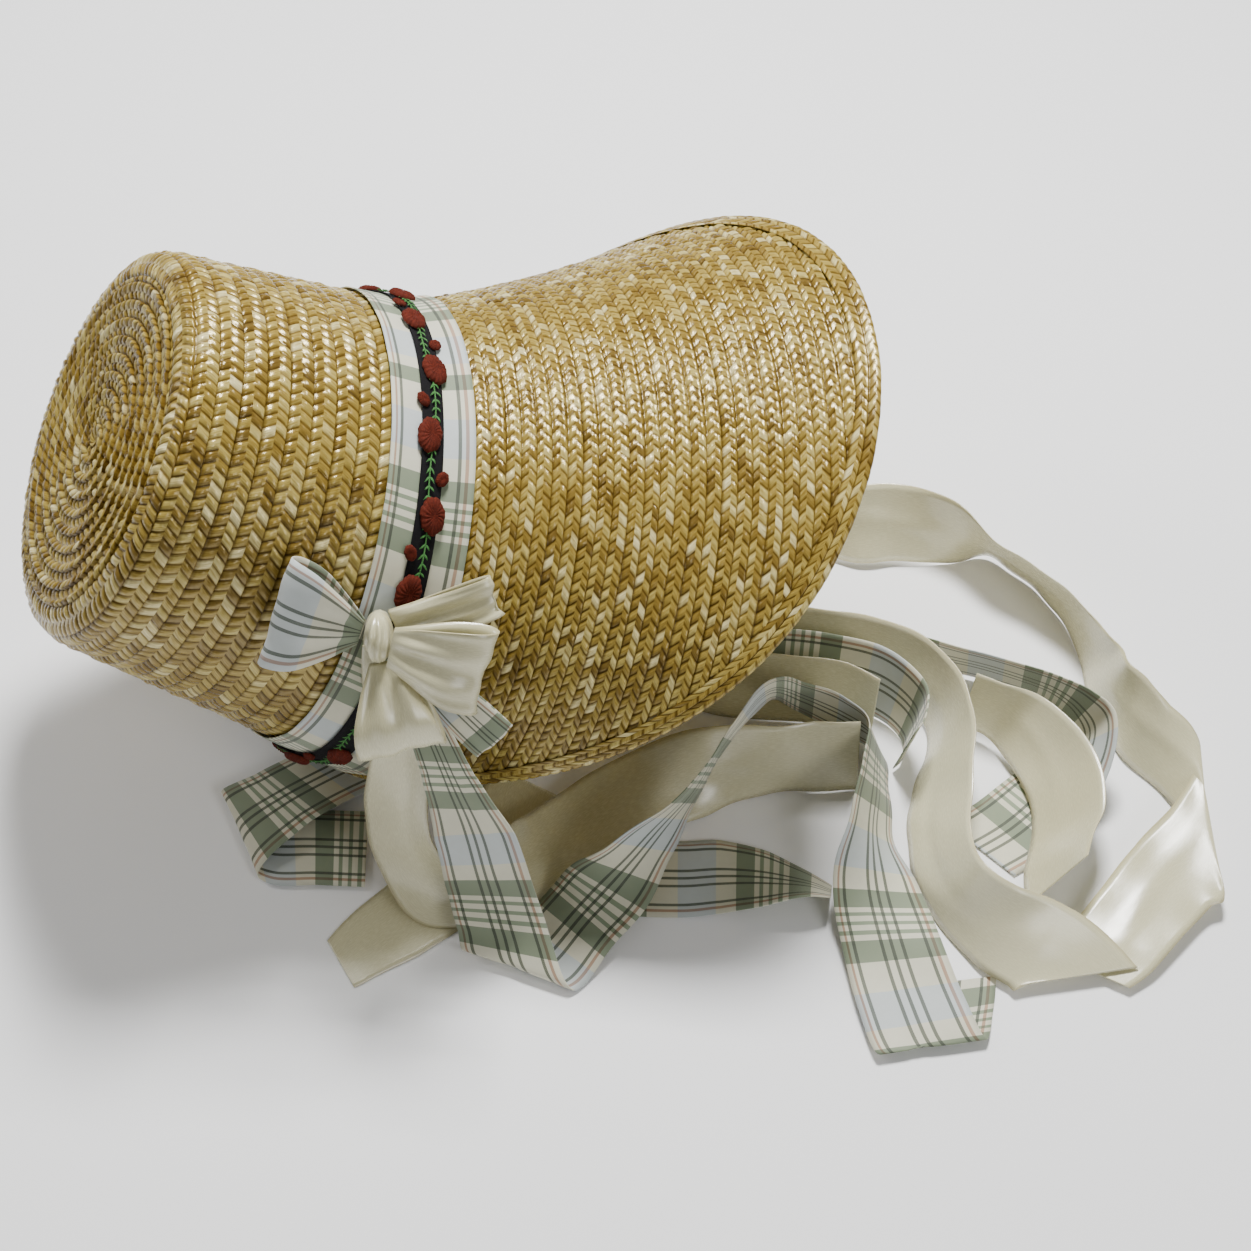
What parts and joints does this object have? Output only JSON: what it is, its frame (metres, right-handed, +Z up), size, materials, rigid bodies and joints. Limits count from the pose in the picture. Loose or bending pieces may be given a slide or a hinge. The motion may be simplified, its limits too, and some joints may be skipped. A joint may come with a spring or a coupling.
{
  "type": "poke bonnet",
  "caption": "Straw poke bonnet with a flared brim, plaid hatband, embroidered trim, side bow and long ribbon ties, lying on its nape edge.",
  "frame": {"origin": "middle of the footprint on the table, at the height of the table top", "axes": "+Z up, +X from the crown toward the open face along the longest side, +Y toward the side away from the bow"},
  "size_m": [0.5174, 0.3578, 0.2433],
  "materials": {
    "straw": "sewn straw plait, satin golden tan",
    "plaid": "woven plaid ribbon, matt",
    "satin": "ivory satin ribbon, soft sheen",
    "trim": "black woven trim",
    "flower": "brick-red embroidery"
  },
  "bodies": {
    "root": {"arch_plaid_tie": "plaid", "arch_satin_tie": "satin", "back_plaid_tie": "plaid", "bow_knot": "satin", "bow_plaid_loop_left": "plaid", "bow_plaid_loop_right": "plaid", "bow_satin_loop_lower": "satin", "bow_satin_loop_middle": "satin", "bow_satin_loop_upper": "satin", "brim": "straw", "crown": "straw", "embroidered_trim": "trim", "far_satin_tie": "satin", "hatband": "plaid", "inner_satin_tie": "satin", "left_plaid_tie": "plaid", "left_satin_tie": "satin", "loop_satin_tie": "satin", "mid_plaid_tie": "plaid", "near_plaid_tie": "plaid", "near_satin_tie": "satin", "rim_braid": "straw", "trim_flower_01": "flower", "trim_flower_02": "flower", "trim_flower_03": "flower", "trim_flower_06": "flower", "trim_flower_07": "flower", "trim_flower_08": "flower", "trim_flower_09": "flower", "trim_flower_10": "flower", "trim_flower_11": "flower", "trim_flower_12": "flower", "trim_flower_13": "flower", "trim_flower_14": "flower", "trim_flower_15": "flower", "trim_flower_16": "flower", "trim_flower_17": "flower", "trim_flower_18": "flower", "trim_flower_19": "flower", "trim_flower_20": "flower"}
  },
  "joints": []
}
